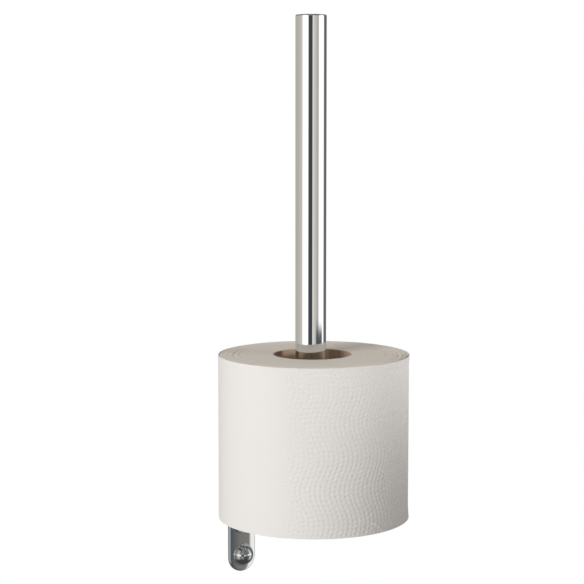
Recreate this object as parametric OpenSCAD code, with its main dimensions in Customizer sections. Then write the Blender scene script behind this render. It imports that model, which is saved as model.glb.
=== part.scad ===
// Wall mounted toilet roll holder: an upright chromed pole on a short arm, with one roll on it.
// The back of the wall plate lies in the plane y = 0 and the pole stands in front of it, towards -Y.
// +Z is up, and the origin is the centre of the wall plate's back face. Sizes are in millimetres.

/* [Wall plate] */
// Width of the wall plate, which has round ends
plate_w = 19.2; // [18:0.2:26]
// Thickness of the wall plate at its middle
plate_t = 3.2; // [2.8:0.1:5]
// How much thinner the plate is at its edge, because its front is crowned
crown_drop = 1; // [0.3:0.1:1.4]
// Rounding of the plate's front edge
plate_edge = 1; // [0.4:0.1:1.2]
// Distance between the two wall screws
screw_spacing = 43; // [38:1:80]
// Distance from a wall screw to the centre of the plate's round end
plate_over = 1.2; // [0:0.1:6]

/* [Screw covers] */
// Diameter of a dome cap
dome_d = 12.6; // [11.6:0.1:14]
// Height of a dome cap above its seat
dome_h = 5.6; // [4.8:0.1:7]
// Height of the dome cap's straight edge
dome_skirt = 0.5; // [0.3:0.1:1]
// Wall thickness of a dome cap
dome_wall = 0.6; // [0.4:0.05:0.8]
// Width of the seat's rim outside the dome cap
seat_rim = 0.75; // [0.4:0.05:1]
// Thickness of the seat's rim
seat_rim_t = 0.8; // [0.5:0.1:1.2]
// Thickness of the seat under the screw's head
seat_floor = 0.2; // [0.2:0.1:0.6]

/* [Wall fixings] */
// Diameter of a wall screw's thread
screw_d = 4; // [3.6:0.1:4.4]
// Diameter of the smooth neck under a wall screw's head
screw_neck_d = 3.4; // [2.8:0.1:3.5]
// Diameter of a wall screw's countersunk head
screw_head_d = 7.8; // [7:0.1:8]
// Length of a wall screw that goes into the wall
screw_reach = 11; // [8:0.5:30]

/* [Arm] */
// Distance from the wall to the pole's axis
pole_reach = 75; // [66:1:110]
// Diameter of the arm's flange on the wall plate
arm_flange_d = 16; // [14:0.5:17]
// Thickness of that flange
arm_flange_t = 2; // [1:0.1:4]
// Diameter of the arm next to its flange
arm_root_d = 11.4; // [10:0.1:12]
// Diameter of the arm at the pole
arm_tip_d = 7.2; // [6:0.1:7.8]
// Diameter of the socket under the pole
socket_d = 25; // [23:0.5:30]
// Height of that socket
socket_h = 8; // [7.6:0.1:12]
// Diameter of the socket's narrower underside
socket_foot_d = 17.6; // [17:0.2:20]
// Diameter of the screw that holds the arm on the plate
arm_screw_d = 5; // [4.6:0.1:5.4]
// Diameter of that screw's countersunk head
arm_screw_head_d = 9.2; // [8.6:0.1:9.4]
// Length of that screw in the arm
arm_screw_reach = 12; // [8:0.5:16]

/* [Pole] */
// Diameter of the pole
pole_d = 18; // [17:0.5:20]
// Wall thickness of the pole's tube
pole_wall = 1; // [0.8:0.1:1.2]
// Height of the pole's top above the face that the roll rests on
pole_h = 292; // [150:0.5:420]
// Rounding of the pole's top edge
pole_round = 0.8; // [0.3:0.1:1]
// How far the foot hub stands out beyond the pole all round
hub_step = 1; // [0.4:0.1:1.2]
// Length of the foot hub's spigot in the tube
spigot_h = 12; // [8:0.5:30]
// Depth of the cap in the pole's top
top_cap_h = 6; // [3:0.5:12]
// Diameter of the bolt that holds the pole
bolt_d = 6; // [5:0.5:6]
// Length of that bolt in the foot hub
bolt_reach = 14; // [8:0.5:16]
// Diameter of the bolt's head
bolt_head_d = 10.4; // [10:0.1:10.8]
// Height of the bolt's head
bolt_head_h = 3; // [2:0.1:3.2]
// Thickness of the washer under the bolt's head
bolt_washer_t = 1; // [0.6:0.1:1.2]

/* [Rest disc] */
// Height of the face that the roll rests on above the wall plate's centre
rest_h = 18.2; // [16:0.2:40]
// Diameter of the disc that carries the rolls
disc_d = 58; // [52:1:90]
// Thickness of that disc
disc_t = 2.4; // [1.6:0.1:4]
// Wall thickness of the collar that guides the disc on the foot hub
collar_wall = 1.2; // [0.8:0.1:3]
// Height of that collar above the disc
collar_h = 3; // [1.5:0.5:12]
// Thickness of the plastic ring that the disc turns on
glide_t = 0.8; // [0.5:0.1:1.5]

/* [Toilet roll] */
// Diameter of the toilet roll
roll_d = 112; // [90:1:120]
// Width of the paper, which is the roll's height
roll_h = 96.3; // [80:0.1:140]
// Inner diameter of the cardboard core
core_d = 44.4; // [38:0.2:50]
// Wall thickness of the cardboard core
core_wall = 0.8; // [0.5:0.1:1.5]
// How far the core is off the roll's middle to the right, because the paper is wound unevenly
core_off_x = -0.6; // [-2:0.1:2]
// How far it is off the roll's middle along the depth
core_off_y = 0.3; // [-2:0.1:2]
// Thickness of the outermost sheet
sheet_t = 0.4; // [0.2:0.05:0.8]
// Width of the gap that the sheet's free edge leaves before it meets the turn below
sheet_gap = 2; // [0.5:0.5:8]
// Direction of that free edge round the roll, in degrees from +X
sheet_end = 202; // [180:1:240]
// How far the roll stands off the pole's centre to the right, because its core is loose
roll_off_x = 1.3; // [-3:0.1:3]
// How far it stands off the pole's centre along the depth
roll_off_y = -0.9; // [-3:0.1:3]

/* [Hidden] */

$fn = 96;
fine_fn = 180;      // for the largest round pieces
fillet_steps = 8;   // straight steps in a large rounding
edge_steps = 4;     // straight steps in a small rounding
chrome = [0.80, 0.82, 0.83];
dark_chrome = [0.62, 0.65, 0.67];
zinc = [0.72, 0.71, 0.66];
nylon = [0.75, 0.76, 0.77];
cardboard = [0.55, 0.44, 0.35];
paper = [0.93, 0.92, 0.90];
sheet_white = [0.96, 0.95, 0.93];

fit_play = 0.05;    // radial play of pieces that are put together by hand
turn_play = 0.08;   // radial play of the disc that turns on the foot hub
hole_play = 0.25;   // radial play of a screw in its clearance hole
trim = 0.5;         // chamfer of turned edges
small_trim = 0.25;  // chamfer of fine turned edges
cut = 1;            // how far a cutting shape runs past the surface that it cuts

// The plate's half section is a crown arc that meets the rounding of its edge without a kink
plate_r = plate_w / 2;
plate_straight = screw_spacing + 2 * plate_over;
crown_r = (plate_r * plate_r + crown_drop * crown_drop) / (2 * crown_drop);
crown_centre = [0, plate_t - crown_r];
edge_x = plate_r - plate_edge;
edge_rise = sqrt((crown_r - plate_edge) * (crown_r - plate_edge) - edge_x * edge_x);
edge_centre = crown_centre + [edge_x, edge_rise];
edge_angle = atan2(edge_rise, edge_x);
crown_step = (90 - edge_angle) / (fillet_steps + 1 / 2);
pad_r = arm_flange_d / 2;

screw_r = screw_d / 2;
screw_head_r = screw_head_d / 2;
screw_cone_h = screw_head_r - screw_r;
screw_neck_r = screw_neck_d / 2;
screw_neck_step = screw_r - screw_neck_r;
screw_rim_h = 0.25;        // height of the head's straight edge
screw_sink = 0.1;          // depth of the head below the seat's hub
screw_tip_h = 3;
screw_tip_r = 0.4;
recess_w = 0.9;            // width of a cross recess
recess_len = 4.5;
recess_depth = 1.3;
arm_screw_r = arm_screw_d / 2;
arm_screw_head_r = arm_screw_head_d / 2;
arm_screw_cone_h = arm_screw_head_r - arm_screw_r;

dome_r = dome_d / 2;
dome_rise = dome_h - dome_skirt;
dome_ball_r = (dome_r * dome_r + dome_rise * dome_rise) / (2 * dome_rise);
dome_ball_z = dome_h - dome_ball_r;
dome_crown_t = 2 * dome_wall;
dome_room_play = 0.2;      // height left over the seat's hub in the dome cap

seat_r = dome_r + seat_rim;
seat_depth = plate_t - crown_r + sqrt(crown_r * crown_r - seat_r * seat_r);
seat_top = seat_depth + seat_rim_t;
screw_cone_start = seat_depth + seat_floor;
screw_head_top = screw_cone_start + screw_cone_h + screw_rim_h;
hub_top = screw_head_top + screw_sink;
dome_room_h = hub_top - seat_top + dome_room_play;
dome_room_z = dome_room_h - dome_ball_z;
dome_room_r = sqrt(dome_ball_r * dome_ball_r - dome_room_z * dome_room_z) - dome_wall;
seat_hub_r = dome_room_r - fit_play;

disc_z = rest_h - disc_t;
glide_z = disc_z - glide_t;
socket_top = glide_z;
socket_foot = socket_top - socket_h;
socket_r = socket_d / 2;
socket_foot_r = socket_foot_d / 2;
socket_edge = 1;           // rounding of the socket's lower and upper edge
glide_inset = 0.5;         // how far the glide washer stays inside the socket's edge
flange_land = 0.8;         // flat ring of the flange outside the arm's fillet
arm_tip_r = arm_tip_d / 2;
arm_root_r = arm_root_d / 2;
arm_fillet_r = pad_r - arm_root_r - flange_land;
arm_tip_z = (socket_top + socket_foot) / 2;
arm_run = pole_reach - plate_t;
arm_tilt = atan(arm_tip_z / arm_run);
arm_len = arm_run / cos(arm_tilt);

pole_r = pole_d / 2;
tube_bore_r = pole_r - pole_wall;
pole_top = rest_h + pole_h;
foot_rise = 0.3;           // height of the foot hub's shoulder above the disc's collar
pole_foot = rest_h + collar_h + foot_rise;
foot_hub_r = pole_r + hub_step;
bolt_r = bolt_d / 2;
bolt_head_r = bolt_head_d / 2;
washer_rim = 0.5;          // how far the washer stands out beyond the bolt's head
washer_r = bolt_head_r + washer_rim;
well_r = washer_r + hole_play;
cover_plug_h = 0.7;
cover_rim = 0.8;
cover_h = 0.9;
cover_r = well_r + cover_rim;
well_h = cover_plug_h + bolt_head_h + bolt_washer_t;
well_top = socket_foot + well_h;
head_z = well_top - bolt_washer_t - bolt_head_h;
hex_key = 4;
hex_depth = 1.6;

disc_r = disc_d / 2;
disc_bore_r = foot_hub_r + turn_play;
collar_r = disc_bore_r + collar_wall;

roll_r = roll_d / 2;
core_r = core_d / 2;
paper_bore_r = core_r + core_wall;
wrap_play = 0.1;           // radial gap between the outermost sheet and the turn below
paper_r = roll_r - sheet_t - wrap_play;
sheet_gap_angle = sheet_gap / roll_r * 180 / PI;

// Points of an arc about a centre, from one angle to another
function arc_points(centre, r, from, to, steps) = [
    for (i = [0:steps])
        let (angle = from + (to - from) * i / steps)
            centre + r * [cos(angle), sin(angle)]
];

// The plate's front, from its side to next to its middle, as distances from its middle and from the wall
function plate_front() = concat(
    [[plate_r, 0]],
    arc_points(edge_centre, plate_edge, 0, edge_angle, edge_steps),
    arc_points(crown_centre, crown_r, edge_angle + crown_step, 90 - crown_step / 2, fillet_steps - 1)
);

// Stands a shape on the wall: its own +Z points away from the wall, its own +Y points up
module from_wall(depth = 0) {
    translate([0, -depth, 0]) rotate([90, 0, 0]) children();
}

// Turns a shape so that its own +Z points into the wall
module into_wall(depth = 0) {
    translate([0, depth, 0]) rotate([-90, 0, 0]) children();
}

// Moves a piece of the upper (1) or the lower (-1) screw point into place
module at_screw(side) {
    translate([0, 0, side * screw_spacing / 2]) children();
}

module at_pole(z = 0) {
    translate([0, -pole_reach, z]) children();
}

module at_roll() {
    translate([roll_off_x, roll_off_y - pole_reach, rest_h]) children();
}

module at_core() {
    at_roll() translate([core_off_x, core_off_y, 0]) children();
}

// A turned disc with small chamfers on its edges
module turned_disc(r, h, edge) {
    rotate_extrude() polygon([[0, 0], [r - edge, 0], [r, edge], [r, h - edge], [r - edge, h], [0, h]]);
}

// A cross recess that is cut into a screw's head between two depths
module cross_recess(from, to) {
    for (turn = [45, 135])
        from_wall((from + to) / 2) rotate([0, 0, turn])
            cube([recess_len, recess_w, to - from], center = true);
}

// The plate without its holes: a straight middle and two round ends of the same section
module plate_blank() {
    front = plate_front();
    last = len(front) - 1;
    back_to_front = [for (i = [last:-1:0]) [-front[i][0], front[i][1]]];
    linear_extrude(plate_straight, center = true) mirror([0, 1]) polygon(concat(front, back_to_front));
    for (turn = [0, 180])
        from_wall() rotate([0, 0, turn]) translate([0, plate_straight / 2, 0])
            rotate_extrude(angle = 180) polygon(concat([[0, 0]], front, [[0, front[last][1]]]));
}

module wall_plate() {
    color(chrome)
    difference() {
        union() {
            plate_blank();
            from_wall() cylinder(r = pad_r, h = plate_t);
        }
        for (side = [-1, 1]) at_screw(side) {
            from_wall(-cut) cylinder(r = screw_r + hole_play, h = plate_t + 2 * cut);
            from_wall(seat_depth) cylinder(r = seat_r, h = plate_t);
        }
        from_wall(-cut) cylinder(r = arm_screw_r + hole_play, h = plate_t + 2 * cut);
        from_wall()
            cylinder(r1 = arm_screw_head_r + hole_play, r2 = arm_screw_r + hole_play, h = arm_screw_cone_h);
    }
}

module arm_profile() {
    fillet_x = arm_root_r + arm_fillet_r;
    fillet_z = arm_flange_t + arm_fillet_r;
    polygon(concat(
        [[0, -cut - arm_flange_t], [fillet_x, -cut - arm_flange_t], [fillet_x, arm_flange_t]],
        arc_points([fillet_x, fillet_z], arm_fillet_r, 270, 180, fillet_steps),
        [[arm_tip_r, arm_len], [0, arm_len]]
    ));
}

module socket_profile() {
    foot_centre = [socket_foot_r - socket_edge, socket_foot + socket_edge];
    top_centre = [socket_r - socket_edge, socket_top - socket_edge];
    polygon(concat(
        [[0, socket_foot]],
        arc_points(foot_centre, socket_edge, -90, -45, edge_steps),
        arc_points(top_centre, socket_edge, -30, 90, edge_steps),
        [[0, socket_top]]
    ));
}

module support_arm() {
    color(chrome)
    difference() {
        union() {
            difference() {
                from_wall(plate_t) rotate([-arm_tilt, 0, 0]) rotate_extrude() arm_profile();
                into_wall(-plate_t) cylinder(r = plate_w, h = plate_t + arm_flange_t + pole_r);
            }
            from_wall(plate_t) turned_disc(pad_r, arm_flange_t, trim);
            at_pole() rotate_extrude() socket_profile();
        }
        from_wall(plate_t - cut) cylinder(r = arm_screw_r, h = arm_screw_reach + cut + trim);
        at_pole(socket_foot - cut) cylinder(r = well_r, h = well_h + cut);
        at_pole(socket_foot) cylinder(r = bolt_r + hole_play, h = socket_h + cut);
        at_pole(socket_foot - arm_tip_d) cylinder(r = cover_r + hole_play, h = arm_tip_d);
    }
}

module arm_fixing_screw() {
    color(zinc)
    difference() {
        from_wall() rotate_extrude() polygon([
            [0, fit_play], [arm_screw_head_r, fit_play], [arm_screw_r, fit_play + arm_screw_cone_h],
            [arm_screw_r, plate_t + arm_screw_reach], [0, plate_t + arm_screw_reach]
        ]);
        cross_recess(-cut, fit_play + recess_depth);
    }
}

module wall_screw(side) {
    color(zinc)
    at_screw(side) difference() {
        from_wall() rotate_extrude() polygon([
            [0, -screw_reach], [screw_tip_r, -screw_reach], [screw_r, screw_tip_h - screw_reach],
            [screw_r, 0], [screw_neck_r, 0], [screw_neck_r, screw_cone_start - screw_neck_step],
            [screw_head_r, screw_cone_start + screw_cone_h], [screw_head_r, screw_head_top],
            [0, screw_head_top]
        ]);
        cross_recess(screw_head_top - recess_depth, screw_head_top + cut);
    }
}

module cap_seat(side) {
    color(dark_chrome)
    at_screw(side) difference() {
        union() {
            from_wall(seat_depth) turned_disc(seat_r - fit_play, seat_rim_t, small_trim);
            from_wall(seat_depth) turned_disc(seat_hub_r, hub_top - seat_depth, small_trim);
        }
        from_wall(seat_depth - cut) cylinder(r = screw_r + fit_play, h = hub_top);
        from_wall(screw_cone_start)
            cylinder(r1 = screw_r + fit_play, r2 = screw_head_r + fit_play, h = screw_cone_h);
        from_wall(screw_head_top - screw_rim_h)
            cylinder(r = screw_head_r + fit_play, h = screw_rim_h + cut);
    }
}

// The part of the dome's ball above a plane, for its outside and its inside
module ball_cap(r, from) {
    intersection() {
        translate([0, 0, dome_ball_z]) sphere(r);
        translate([0, 0, from]) cylinder(r = r + cut, h = r + cut);
    }
}

module dome_cap(side) {
    color(chrome)
    at_screw(side) from_wall(seat_top) difference() {
        union() {
            cylinder(r = dome_r, h = dome_skirt);
            ball_cap(dome_ball_r, dome_skirt);
        }
        translate([0, 0, -cut]) cylinder(r = dome_room_r, h = dome_room_h + cut);
        ball_cap(dome_ball_r - dome_crown_t, dome_room_h);
    }
}

module pole_tube() {
    color(chrome)
    at_pole() difference() {
        rotate_extrude($fn = fine_fn)
            polygon(concat(
                [[0, pole_foot], [pole_r, pole_foot]],
                arc_points([pole_r - pole_round, pole_top - pole_round], pole_round, 0, 90, fillet_steps),
                [[0, pole_top]]
            ));
        translate([0, 0, pole_foot - cut]) cylinder(r = tube_bore_r, h = pole_top - pole_foot + 2 * cut);
    }
}

module pole_top_cap() {
    color(chrome)
    at_pole(pole_top - top_cap_h) cylinder(r = tube_bore_r, h = top_cap_h);
}

// The pole stands on this hub's shoulder, and the rest disc turns round it
module pole_foot_hub() {
    color(zinc)
    at_pole() difference() {
        rotate_extrude() polygon([
            [0, socket_top], [foot_hub_r, socket_top], [foot_hub_r, pole_foot - small_trim],
            [foot_hub_r - small_trim, pole_foot], [tube_bore_r, pole_foot],
            [tube_bore_r, pole_foot + spigot_h], [0, pole_foot + spigot_h]
        ]);
        translate([0, 0, socket_top - cut]) cylinder(r = bolt_r, h = bolt_reach + cut + trim);
    }
}

module pole_bolt() {
    color(zinc)
    at_pole(head_z) difference() {
        union() {
            turned_disc(bolt_head_r, bolt_head_h, trim);
            cylinder(r = bolt_r, h = socket_top + bolt_reach - head_z);
        }
        translate([0, 0, -cut]) cylinder(d = hex_key / cos(30), h = hex_depth + cut, $fn = 6);
    }
}

module pole_bolt_washer() {
    color(zinc)
    at_pole(well_top - bolt_washer_t) difference() {
        cylinder(r = washer_r, h = bolt_washer_t);
        translate([0, 0, -cut]) cylinder(r = bolt_r + hole_play, h = bolt_washer_t + 2 * cut);
    }
}

module socket_cover() {
    color(dark_chrome)
    at_pole(socket_foot) rotate_extrude() polygon([
        [0, -cover_h], [cover_r - trim, -cover_h], [cover_r, trim - cover_h], [cover_r, 0],
        [well_r - fit_play, 0], [well_r - fit_play, cover_plug_h], [0, cover_plug_h]
    ]);
}

module glide_washer() {
    color(nylon)
    at_pole(glide_z) difference() {
        cylinder(r = socket_r - glide_inset, h = glide_t);
        translate([0, 0, -cut]) cylinder(r = foot_hub_r + hole_play, h = glide_t + 2 * cut);
    }
}

module rest_disc() {
    color(chrome)
    at_pole(disc_z) difference() {
        rotate_extrude($fn = fine_fn)
            polygon(concat(
                [[0, 0]],
                arc_points([disc_r - disc_t / 2, disc_t / 2], disc_t / 2, 270, 450, fillet_steps),
                [[collar_r + trim, disc_t], [collar_r, disc_t + trim]],
                [[collar_r, disc_t + collar_h - trim], [collar_r - trim, disc_t + collar_h]],
                [[0, disc_t + collar_h]]
            ));
        translate([0, 0, -cut]) cylinder(r = disc_bore_r, h = disc_t + collar_h + 2 * cut);
    }
}

module roll_core() {
    color(cardboard)
    at_core() difference() {
        cylinder(r = paper_bore_r, h = roll_h);
        translate([0, 0, -cut]) cylinder(r = core_r, h = roll_h + 2 * cut);
    }
}

module roll_paper() {
    color(paper)
    difference() {
        at_roll() cylinder(r = paper_r, h = roll_h, $fn = fine_fn);
        at_core() translate([0, 0, -cut]) cylinder(r = paper_bore_r, h = roll_h + 2 * cut);
    }
}

module roll_outer_sheet() {
    color(sheet_white)
    at_roll() rotate([0, 0, sheet_end])
        rotate_extrude(angle = 360 - sheet_gap_angle, $fn = fine_fn)
            translate([roll_r - sheet_t, 0]) square([sheet_t, roll_h]);
}

wall_plate();
support_arm();
arm_fixing_screw();
wall_screw(1);  // wall_screw_upper
wall_screw(-1);  // wall_screw_lower
cap_seat(1);  // cap_seat_upper
cap_seat(-1);  // cap_seat_lower
dome_cap(1);  // dome_cap_upper
dome_cap(-1);  // dome_cap_lower
pole_tube();
pole_top_cap();
pole_foot_hub();
pole_bolt();
pole_bolt_washer();
socket_cover();
glide_washer();
rest_disc();
roll_core();
roll_paper();
roll_outer_sheet();
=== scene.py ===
import math

import bmesh
import bpy
import numpy as np
from mathutils import Matrix, Vector


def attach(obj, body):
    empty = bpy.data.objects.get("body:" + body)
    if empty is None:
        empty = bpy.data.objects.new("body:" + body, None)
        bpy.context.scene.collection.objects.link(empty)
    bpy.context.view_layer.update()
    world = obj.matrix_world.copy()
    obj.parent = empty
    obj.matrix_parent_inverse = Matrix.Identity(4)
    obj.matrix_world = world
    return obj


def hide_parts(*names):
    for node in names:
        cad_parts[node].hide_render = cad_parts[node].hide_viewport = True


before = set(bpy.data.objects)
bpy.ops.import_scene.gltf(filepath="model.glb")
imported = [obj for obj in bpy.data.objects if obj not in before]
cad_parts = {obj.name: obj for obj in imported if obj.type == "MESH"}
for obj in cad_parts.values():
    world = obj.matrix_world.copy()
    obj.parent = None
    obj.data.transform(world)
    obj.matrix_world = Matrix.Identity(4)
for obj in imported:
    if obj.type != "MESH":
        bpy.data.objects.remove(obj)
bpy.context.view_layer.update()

MM = 0.001
TINY = 1e-6
FULL_TURN = 2 * math.pi
WHITE = (1.0, 1.0, 1.0, 1.0)

# Camera. It stands as the photograph's camera did, placed round the pole's axis, in millimetres and degrees.
POLE = Vector((0, -75, 0))
EYE_AZIMUTH = -35.77
EYE_DISTANCE = 960
EYE_HEIGHT = 255.4
EYE_TURN = 0.65
EYE_PITCH = 6.22
SENSOR = 36
FRAME_PX = 584
FOCAL_PX = 1659.5


def towards(azimuth, elevation=0.0):
    """The direction at an angle round the pole and one above the horizon, in degrees."""
    a, e = math.radians(azimuth), math.radians(elevation)
    return Vector((math.sin(a) * math.cos(e), -math.cos(a) * math.cos(e), math.sin(e)))


def make_camera():
    data = bpy.data.cameras.new("camera")
    data.sensor_width = SENSOR
    data.lens = FOCAL_PX / FRAME_PX * SENSOR
    data.clip_start, data.clip_end = 0.05, 50
    camera = bpy.data.objects.new("camera", data)
    bpy.context.scene.collection.objects.link(camera)
    camera.location = (POLE + towards(EYE_AZIMUTH) * EYE_DISTANCE + Vector((0, 0, EYE_HEIGHT))) * MM
    camera.rotation_mode = "QUATERNION"
    camera.rotation_quaternion = towards(EYE_AZIMUTH + EYE_TURN, EYE_PITCH).to_track_quat("Z", "Y")
    bpy.context.scene.camera = camera


make_camera()
bpy.context.scene.view_settings.view_transform = "Standard"

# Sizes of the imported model, in millimetres.
# The wall plate, and the plays and roundings that several pieces share:
PLATE_R, PLATE_T, CROWN_DROP, PLATE_EDGE = 9.6, 3.2, 1.0, 1.0
PLATE_STRAIGHT, PLATE_BACK_EDGE = 45.4, 0.2
SCREW_Z = 21.5
SCREW_HOLE_R = 2.25
SEAT_RECESS_R = 7.05
HOLE_PLAY, FIT_PLAY = 0.25, 0.05
# The cap rings, wall screws and dome caps:
SEAT_R, SEAT_T, SEAT_DEPTH = 7.0, 0.8, 2.663
SEAT_TOP = SEAT_DEPTH + SEAT_T
SEAT_HUB_R, HUB_TOP = 5.202, 5.113
GROOVE_DEPTH, GROOVE_H, BEAD_H = 0.12, 0.55, 0.8
CONE_START, HEAD_TOP, HEAD_R, SHANK_R = 2.863, 5.013, 3.9, 2.0
HEAD_RIM, HEAD_FLAT_R = 0.25, 2.6
SCREW_NECK_R, NECK_FOOT = 1.7, -1.5
SCREW_REACH, SCREW_TIP = 11.0, 3.0
THREAD_ROOT, THREAD_START, PITCH = 1.35, 0.1, 1.8
DOME_R, DOME_H, DOME_SKIRT, DOME_FOOT_ROUND = 6.3, 5.6, 0.5, 0.15
DOME_BALL_R = 6.441
DOME_ROOM_R, DOME_ROOM_H, DOME_LEAD_IN = 5.252, 1.85, 0.1
DOME_INNER_BALL_R = 5.241
# The arm, its screw and the cover under its socket:
ARM_SCREW_R, ARM_SCREW_HEAD_R, ARM_SCREW_REACH = 2.5, 4.6, 12.0
ARM_SCREW_CONE, ARM_SCREW_CHAMFER = 2.2, 0.4
FLANGE_R, FLANGE_T = 8.0, 2.0
ARM_ROOT_R, ARM_TIP_R, ARM_FILLET_R = 5.7, 3.6, 1.5
ARM_TIP_Z = 11.0
ARM_RUN = 71.8
SOCKET_R, SOCKET_FOOT_R, SOCKET_FOOT, SOCKET_TOP = 12.5, 8.8, 7.0, 15.0
SOCKET_ROUND, SOCKET_SLOPE = 1, -38
WELL_R, WELL_TOP = 5.95, 11.7
BOLT_HOLE_R = 3.25
COVER_R, COVER_H, COVER_PLUG_H = 6.75, 0.9, 0.7
# The pole with its cap and hub, and the disc with its glide ring:
POLE_R, POLE_BORE_R, POLE_FOOT, POLE_TOP, POLE_ROUND = 9.0, 8.0, 21.5, 310.2, 0.8
PLUG_R = POLE_BORE_R - 0.01
TOP_CAP_H = 6.0
HUB_R, HUB_BORE_R, SPIGOT_TOP = 10.0, 3.0, 33.5
DISC_R, DISC_Z, DISC_T = 29.0, 15.8, 2.4
DISC_BORE_R, COLLAR_R, COLLAR_TOP = 10.08, 11.28, 21.2
GLIDE_R, GLIDE_BORE_R = 12.0, 10.25
# The roll:
REST_Z = 18.2
ROLL_R, ROLL_H = 56.0, 96.3
ROLL_CENTRE = (1.3, -75.9)
CORE_CENTRE = (0.7, -75.6)
CORE_R, CORE_WALL = 22.2, 0.8
FREE_EDGE = 202.0

# Local axes of the pieces on the wall: +Z points away from the wall and +Y up
ON_WALL = Matrix(((1, 0, 0, 0), (0, 0, -1, 0), (0, 1, 0, 0), (0, 0, 0, 1)))
AT_POLE = Matrix.Translation(POLE)
HALF_TURN = Matrix.Rotation(math.pi, 4, "X")


def screw_point(side):
    return Matrix.Translation((0, 0, side * SCREW_Z)) @ ON_WALL


# Mesh helpers
SEGMENTS, FINE_SEGMENTS = 128, 256
SCREW_SEGMENTS, DOME_SEGMENTS, RING_SEGMENTS = 96, 160, 192
SHARP = math.radians(32)


def rounded(corners, steps=6):
    """The points of a closed profile of (radius, height) corners, where a third number rounds the corner."""
    points = []
    for i, corner in enumerate(corners):
        here = Vector(corner[:2])
        if len(corner) < 3:
            points.append(here)
            continue
        before = (Vector(corners[i - 1][:2]) - here).normalized()
        after = (Vector(corners[(i + 1) % len(corners)][:2]) - here).normalized()
        half = before.angle(after) / 2
        reach = corner[2] / math.tan(half)
        centre = here + (before + after).normalized() * corner[2] / math.sin(half)
        first, last = here + before * reach - centre, here + after * reach - centre
        start = math.atan2(first.y, first.x)
        swing = (math.atan2(last.y, last.x) - start + math.pi) % FULL_TURN - math.pi
        for k in range(steps + 1):
            angle = start + swing * k / steps
            points.append(centre + corner[2] * Vector((math.cos(angle), math.sin(angle))))
    return points


def arc(centre, r, start, end, steps):
    """Points of an arc between two angles in degrees."""
    angles = [math.radians(start + (end - start) * k / steps) for k in range(steps + 1)]
    return [Vector((centre[0] + r * math.cos(a), centre[1] + r * math.sin(a))) for a in angles]


def turned(profile, segments=SEGMENTS):
    """Vertices and faces of a closed profile turned about +Z."""
    turn = [FULL_TURN * i / segments for i in range(segments)]
    verts, rows, faces = [], [], []
    for r, h in profile:
        if r < TINY:
            rows.append([len(verts)] * segments)
            verts.append((0, 0, h))
        else:
            rows.append(list(range(len(verts), len(verts) + segments)))
            verts += [(r * math.cos(a), r * math.sin(a), h) for a in turn]
    for a, b in zip(rows, rows[1:] + rows[:1]):
        for i in range(segments):
            j = (i + 1) % segments
            face = list(dict.fromkeys((a[i], a[j], b[j], b[i])))
            if len(face) > 2:
                faces.append(face)
    return verts, faces


def box(size, taper):
    """Vertices and faces of a box centred in x and y that rises from z = 0, its top scaled by taper."""
    x, y, z = size[0] / 2, size[1] / 2, size[2]
    low = [(-x, -y, 0), (x, -y, 0), (x, y, 0), (-x, y, 0)]
    verts = low + [(a * taper, b * taper, z) for a, b, _ in low]
    faces = [(0, 3, 2, 1), (4, 5, 6, 7)] + [(i, (i + 1) % 4, (i + 1) % 4 + 4, i + 4) for i in range(4)]
    return verts, faces


def solid(name, shape, place=Matrix.Identity(4)):
    """An object in metres from a closed shape in millimetres."""
    mesh = bpy.data.meshes.new(name)
    mesh.from_pydata([tuple(v) for v in shape[0]], [], shape[1])
    mesh.transform(Matrix.Scale(MM, 4) @ place)
    bm = bmesh.new()
    bm.from_mesh(mesh)
    bmesh.ops.remove_doubles(bm, verts=bm.verts, dist=TINY)
    bmesh.ops.recalc_face_normals(bm, faces=bm.faces)
    bm.to_mesh(mesh)
    bm.free()
    made = bpy.data.objects.new(name, mesh)
    bpy.context.scene.collection.objects.link(made)
    return made


def combine(target, operation, *others):
    """Cuts the other objects from the target, or joins them to it, and removes them."""
    for other in others:
        step = target.modifiers.new(operation, "BOOLEAN")
        step.operation, step.solver, step.object = operation, "EXACT", other
        graph = bpy.context.evaluated_depsgraph_get()
        mesh = bpy.data.meshes.new_from_object(target.evaluated_get(graph))
        target.modifiers.clear()
        target.data = mesh
        bpy.data.objects.remove(other)


def cylinder(r, z0, z1):
    return turned([(0, z0), (r, z0), (r, z1), (0, z1)])


def dress(obj, body, slot, material, *nodes, sharp=SHARP, normals=None):
    """The finish of a piece: its material, soft shading between its edges, and its place in the model."""
    obj.data.materials.clear()
    obj.data.materials.append(material)
    obj.data.shade_smooth()
    obj.data.set_sharp_from_angle(angle=sharp)
    if normals is None:
        even = obj.modifiers.new("even shading", "WEIGHTED_NORMAL")
        even.mode, even.weight, even.keep_sharp = "FACE_AREA", 50, True
    else:
        obj.data.normals_split_custom_set_from_vertices(normals)
    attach(obj, body)
    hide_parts(*nodes)


# Materials
def feed(tree, socket, value):
    """Links a socket to another one, or sets its number or colour."""
    if isinstance(value, bpy.types.NodeSocket):
        tree.links.new(value, socket)
    else:
        socket.default_value = value


def add_node(tree, kind, inputs=None, **settings):
    made = tree.nodes.new(kind)
    for key, value in settings.items():
        setattr(made, key, value)
    for key, value in (inputs or {}).items():
        feed(tree, made.inputs[key], value)
    return made


def add_mix(tree, factor, a, b):
    """A mix of two colours."""
    return add_node(tree, "ShaderNodeMix", {0: factor, 6: a, 7: b}, data_type="RGBA").outputs[2]


def add_ramp(tree, value, stops):
    """A colour ramp of (position, colour or grey) stops."""
    made = add_node(tree, "ShaderNodeValToRGB", {"Fac": value})
    elements = made.color_ramp.elements
    while len(elements) < len(stops):
        elements.new(1.0)
    for element, (position, colour) in zip(elements, stops):
        element.position = position
        element.color = (*colour, 1.0) if isinstance(colour, tuple) else (colour, colour, colour, 1.0)
    return made.outputs[0]


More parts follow.
